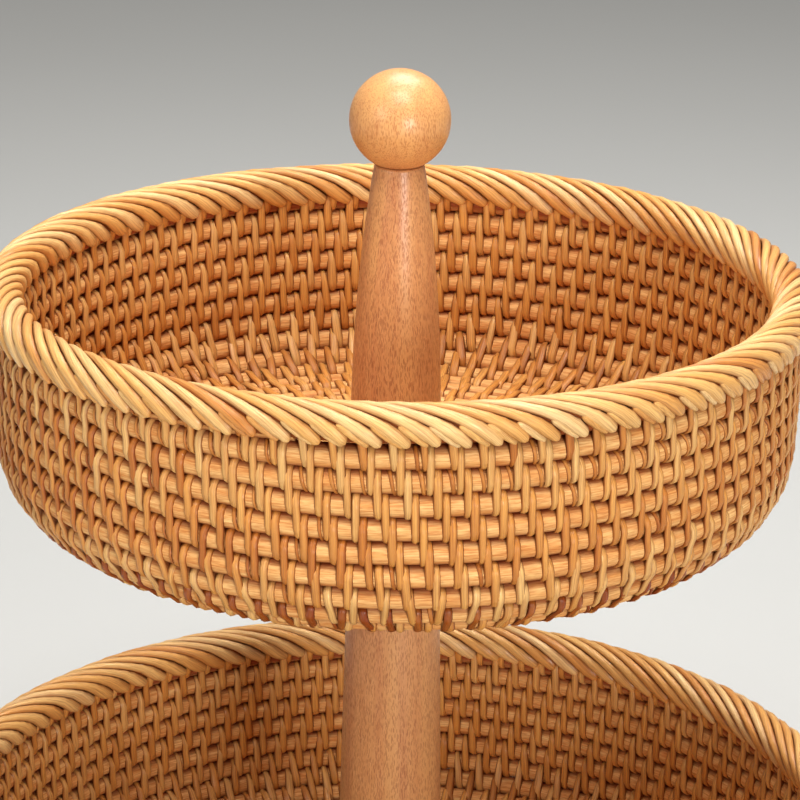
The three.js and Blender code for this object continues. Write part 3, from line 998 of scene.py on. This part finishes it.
def build_stitches(line, tier, body, dice):
    strips = source_collection("strips", [
        stitch_mesh(f"strip_{kind}", vary(dice, STRIP_WIDTH, 0.06), vary(dice, STRIP_SLANT, 0.3))
        for kind in range(STRIP_KINDS)
    ])
    wraps = source_collection("wraps", [
        wrap_mesh(f"wrap_{kind}", vary(dice, WRAP_WIDTH, 0.15), vary(dice, WRAP_SLANT, 0.2))
        for kind in range(STRIP_KINDS)
    ])
    on_wall, beside = wall_seats(line, tier, dice)
    groups = (  # each with its sway in radians
        ("wall_stitches", on_wall, strips, 0.015),
        ("wall_wraps", beside, wraps, 0.04),
        ("floor_stitches", floor_seats(line, dice), strips, 0.09),
    )
    for number, (label, seats, sources, sway) in enumerate(groups):
        piece = grow(
            f"{tier}_{label}", seat_mesh(label, seats), trees["stitch"], Sources=sources, Kinds=STRIP_KINDS,
            Sway=sway, Spread=STRIP_WIDTH_SPREAD, Seed=10 * number, Finish=finishes["strip"],
        )
        tuck_under_rim(piece, line)
        lay(piece, body, "rattan")
    clear_sources(strips)
    clear_sources(wraps)


def build_rim(line, tier, body, dice):
    count = STRANDS[tier]
    spacing = math.tau * line.rim_radius / count
    strands = source_collection("strands", [
        strand_mesh(
            f"strand_{kind}", line,
            start=STRAND_START + either_way(dice, 0.1),
            end=STRAND_END + either_way(dice, 0.08),
            width=vary(dice, STRAND_WIDTH, 0.05),
            nose_width=vary(dice, STRAND_NOSE_WIDTH, 0.08),
            thickness=STRAND_THICKNESS,
            shift=0.0,
            lift=either_way(dice, 0.0001),
        )
        for kind in range(STRAND_KINDS)
    ])
    tips = source_collection("tips", [
        strand_mesh(
            f"tip_{kind}", line,
            start=TIP_START,
            end=TIP_END + either_way(dice, 0.1),
            width=vary(dice, TIP_WIDTH, 0.1),
            nose_width=TIP_NOSE_WIDTH,
            thickness=TIP_THICKNESS,
            shift=dice.uniform(*TIP_PLACE) * spacing,
            lift=-TIP_SINK,
        )
        for kind in range(STRAND_KINDS)
    ])
    per_turn = STITCHES_PER_TURN[tier]
    front_stitch = round((line.end_turn - 1 + (FRONT - COIL_END_ANGLE) / math.tau) * per_turn)
    stitch_angle = line.angle(front_stitch / per_turn)
    phase = stitch_angle - (0.5 * spacing + STRAND_ADVANCE) / line.rim_radius
    sway = STRAND_SWAY * spacing / line.rim_radius
    groups = (
        ("rim_strands", strands, 3, (f"{tier}_rim_wrap",)),
        ("rim_tips", tips, 8, ()),
    )
    for label, sources, seed, nodes in groups:
        piece = grow(
            f"{tier}_{label}", bpy.data.meshes.new(label), trees["strand"], Sources=sources,
            Kinds=STRAND_KINDS, Count=count, Phase=phase, Sway=sway, Seed=seed, Finish=finishes["rim"],
        )
        lay(piece, body, "rim_rattan", *nodes)
        clear_sources(sources)
    bed = add_piece(f"{tier}_rim_bed", rim_bed_mesh("bed", line), finishes["bed"])
    lay(bed, body, "rattan", f"{tier}_rim_core")


for tier, body in (("upper", "upper_basket"), ("lower", "stand")):
    line = BasketLine(tier)
    dice = random.Random(tier)
    build_rods(line, tier, body)
    build_stitches(line, tier, body, dice)
    build_rim(line, tier, body, dice)


# Posts and ball

def eased_taper(foot, top, low, high, swell):
    """A post's side from its foot to its top, with rounded edges."""
    length = high - low
    points = []
    for step in range(TAPER_STEPS + 1):
        share = step / TAPER_STEPS
        height = low + POST_EDGE + (length - 2 * POST_EDGE) * share
        radius = (foot - (foot - top) * ((height - low) / length) ** swell) / 2
        points.append((radius, height))
    foot_radius = points[0][0]
    top_radius = points[-1][0]
    foot_edge = []
    top_edge = []
    for step in range(EDGE_STEPS):
        angle = math.radians(90) * step / EDGE_STEPS
        inset = POST_EDGE * (1 - math.sin(angle))
        rise = POST_EDGE * (1 - math.cos(angle))
        foot_edge.append((foot_radius - inset, low + rise))
        top_edge.insert(0, (top_radius - inset, high - rise))
    return foot_edge + points + top_edge


def bore_outline(bore, mouth, way):
    """A blind hole's outline from the axis to its mouth. It goes in upwards for 1, downwards for -1."""
    radius, depth = bore
    bottom = mouth + way * depth
    return [(0, bottom), (radius, bottom), (radius, mouth)]


def post_mesh(node, foot, top, swell, foot_bore, top_bore):
    low, high = (corner.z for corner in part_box(node))
    outline = bore_outline(foot_bore, low, 1)
    outline += eased_taper(foot, top, low, high, swell)
    outline += reversed(bore_outline(top_bore, high, -1))
    return turned_mesh(f"{node}_wood", outline)


def ball_mesh(name):
    low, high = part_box("finial_ball")
    radius = high.x
    centre = high.z - radius
    seat_angle = math.asin((low.z - centre) / radius)
    outline = bore_outline(DOWEL_BORE, low.z, 1)
    for step in range(BALL_STEPS):
        angle = seat_angle + (math.radians(90) - seat_angle) * step / BALL_STEPS
        outline.append((radius * math.cos(angle), centre + radius * math.sin(angle)))
    outline.append((0, high.z))
    return turned_mesh(name, outline)


lower_wood = post_mesh("lower_post", LOWER_POST_FOOT, LOWER_POST_TOP, LOWER_POST_SWELL,
                       INSERT_BORE, INSERT_BORE)
upper_wood = post_mesh("upper_post", UPPER_POST_FOOT, UPPER_POST_NECK, UPPER_POST_SWELL,
                       STUD_BORE, DOWEL_BORE)
ball_wood = ball_mesh("finial_ball_wood")
lay(add_piece("lower_post_wood", lower_wood, finishes["post"]), "stand", "post_wood", "lower_post")
lay(add_piece("upper_post_wood", upper_wood, finishes["post"]), "handle", "post_wood", "upper_post")
lay(add_piece("finial_ball_wood", ball_wood, finishes["ball"]), "handle", "ball_wood", "finial_ball")


# Fastenings

def inner_radius(node):
    """Radius of the hole through a ring-shaped node."""
    return min(math.hypot(vertex.co.x, vertex.co.y) for vertex in frame["nodes"][node].data.vertices)


def washer_mesh(node):
    low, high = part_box(node)
    outer = high.x
    hole = inner_radius(node)
    outline = [
        (hole, low.z),
        (outer - WASHER_EDGE, low.z),
        (outer, low.z + WASHER_EDGE),
        (outer, high.z - WASHER_EDGE),
        (outer - WASHER_EDGE, high.z),
        (hole, high.z),
        (hole, low.z),
    ]
    return turned_mesh(node, outline)


def thread_mesh(name, node):
    """A rod with a right-hand thread and chamfered ends."""
    low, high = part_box(node)
    radius = high.x
    length = high.z - low.z
    steps = round(length / THREAD_PITCH * THREAD_STEPS)
    builder = bmesh.new()
    rows = []
    for step in range(steps + 1):
        height = length * step / steps
        chamfer = radius - THREAD_DEPTH + min(height, length - height)
        row = []
        for side in range(THREAD_SIDES):
            turn = side / THREAD_SIDES
            wave = (height / THREAD_PITCH - turn) % 1
            reach = min(chamfer, radius - THREAD_DEPTH * abs(2 * wave - 1))
            angle = turn * math.tau
            point = (reach * math.cos(angle), reach * math.sin(angle), low.z + height)
            row.append(builder.verts.new(point))
        rows.append(row)
    skin(builder, rows)
    return seal(builder, name)


def screw_mesh(name, node):
    """A pan-headed screw with a six-sided socket in its underside."""
    low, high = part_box(node)
    head = high.x
    shank = inner_radius("base_washer") - SHANK_CLEARANCE
    socket = SOCKET_FLATS / 2
    head_top = low.z + SCREW_HEAD_HEIGHT
    bulge = SCREW_EDGE_BULGE * SCREW_HEAD_EDGE
    outline = [
        (0, low.z + SOCKET_DEPTH),
        (socket, low.z + SOCKET_DEPTH),
        (socket, low.z),
        (head - SCREW_HEAD_EDGE, low.z),
        (head - bulge, low.z + bulge),
        (head, low.z + SCREW_HEAD_EDGE),
        (head, head_top),
        (shank, head_top),
        (shank, high.z - SCREW_HEAD_EDGE),
        (shank - SCREW_HEAD_EDGE, high.z),
        (0, high.z),
    ]
    mesh = turned_mesh(name, outline)
    for vertex in mesh.vertices:
        reach = math.hypot(vertex.co.x, vertex.co.y)
        if 0 < reach < 1.01 * socket and vertex.co.z < head_top:
            from_flat = math.atan2(vertex.co.y, vertex.co.x) % math.radians(60) - math.radians(30)
            vertex.co.xy *= 1 / math.cos(from_flat)
    return mesh


WASHER_BODIES = {
    "base_washer": "stand",
    "foot_washer": "stand",
    "seat_washer": "stand",
    "handle_washer": "clamp_washer",
}
for node, body in WASHER_BODIES.items():
    lay(add_piece(f"{node}_plate", washer_mesh(node), finishes["zinc"]), body, "zinc_steel", node)
stud = add_piece("joining_stud_thread", thread_mesh("stud", "joining_stud"), finishes["zinc"])
lay(stud, "handle", "zinc_steel", "joining_stud")
screw = add_piece("base_screw_head", screw_mesh("screw", "base_screw"), finishes["zinc"])
lay(screw, "stand", "zinc_steel", "base_screw")

# Hidden nodes that keep their CAD shape
HIDDEN_FINISHES = {
    "finial_dowel": "post",
    "lower_post_foot_insert": "brass",
    "lower_post_top_insert": "brass",
}
for node, finish_name in HIDDEN_FINISHES.items():
    piece = frame["nodes"][node]
    piece.data.materials.clear()
    piece.data.materials.append(finishes[finish_name])


# Stage, light and camera

CAMERA_TARGET = Vector((0, 0, 0.2095))
CAMERA_DISTANCE = 0.98965
CAMERA_ELEVATION = math.radians(19.69)
CAMERA_ROLL = math.radians(0.84)
CAMERA_LENS = 146.04
CAMERA_SENSOR = 36
CAMERA_SHIFT = 0.005
FLOOR_SIZE = 8.0
FLOOR_SIDES = 64
FLOOR_TINTS = (colour(192, 191, 187), colour(188, 187, 183))
SKY_TINT = (1.0, 0.98, 0.95, 1.0)
SKY_STRENGTH = 0.24


def build_floor():
    builder = bmesh.new()
    bmesh.ops.create_circle(builder, cap_ends=True, segments=FLOOR_SIDES, radius=FLOOR_SIZE / 2)
    mesh = bpy.data.meshes.new("floor")
    builder.to_mesh(mesh)
    builder.free()
    material, tree, shade = finish("floor_paint", Roughness=0.8)
    shade("Base Color", blend(tree, noise(tree, object_place(tree), scale=3.0), *FLOOR_TINTS))
    add_piece("floor", mesh, material)


def add_lamp(name, at, size, power):
    lamp = bpy.data.lights.new(name, "AREA")
    lamp.size = size
    lamp.energy = power
    place = bpy.data.objects.new(name, lamp)
    place.location = at
    place.rotation_euler = (CAMERA_TARGET - Vector(at)).to_track_quat("-Z", "Y").to_euler()
    bpy.context.scene.collection.objects.link(place)


def add_camera():
    camera = bpy.data.cameras.new("camera")
    camera.lens = CAMERA_LENS
    camera.sensor_width = CAMERA_SENSOR
    camera.shift_x = CAMERA_SHIFT
    view = bpy.data.objects.new("camera", camera)
    back = Vector((0, -math.cos(CAMERA_ELEVATION), math.sin(CAMERA_ELEVATION)))
    facing = (-back).to_track_quat("-Z", "Y").to_matrix().to_4x4()
    place = Matrix.Translation(CAMERA_TARGET + back * CAMERA_DISTANCE)
    view.matrix_world = place @ facing @ Matrix.Rotation(CAMERA_ROLL, 4, "Z")
    bpy.context.scene.collection.objects.link(view)
    bpy.context.scene.camera = view


def light_world():
    world = bpy.data.worlds.new("studio")
    world.use_nodes = True
    sky = world.node_tree.nodes["Background"]
    sky.inputs["Color"].default_value = SKY_TINT
    sky.inputs["Strength"].default_value = SKY_STRENGTH
    bpy.context.scene.world = world


build_floor()
light_world()
add_lamp("key", at=(0.1, -0.7, 2.0), size=1.0, power=30.0)
add_lamp("left fill", at=(-1.3, -1.3, 1.1), size=1.0, power=10.5)
add_lamp("low fill", at=(1.0, -2.6, 0.5), size=0.7, power=42.0)
add_lamp("back", at=(0.1, 0.4, 1.1), size=0.6, power=10.5)
add_camera()
bpy.context.scene.view_settings.view_transform = "Standard"
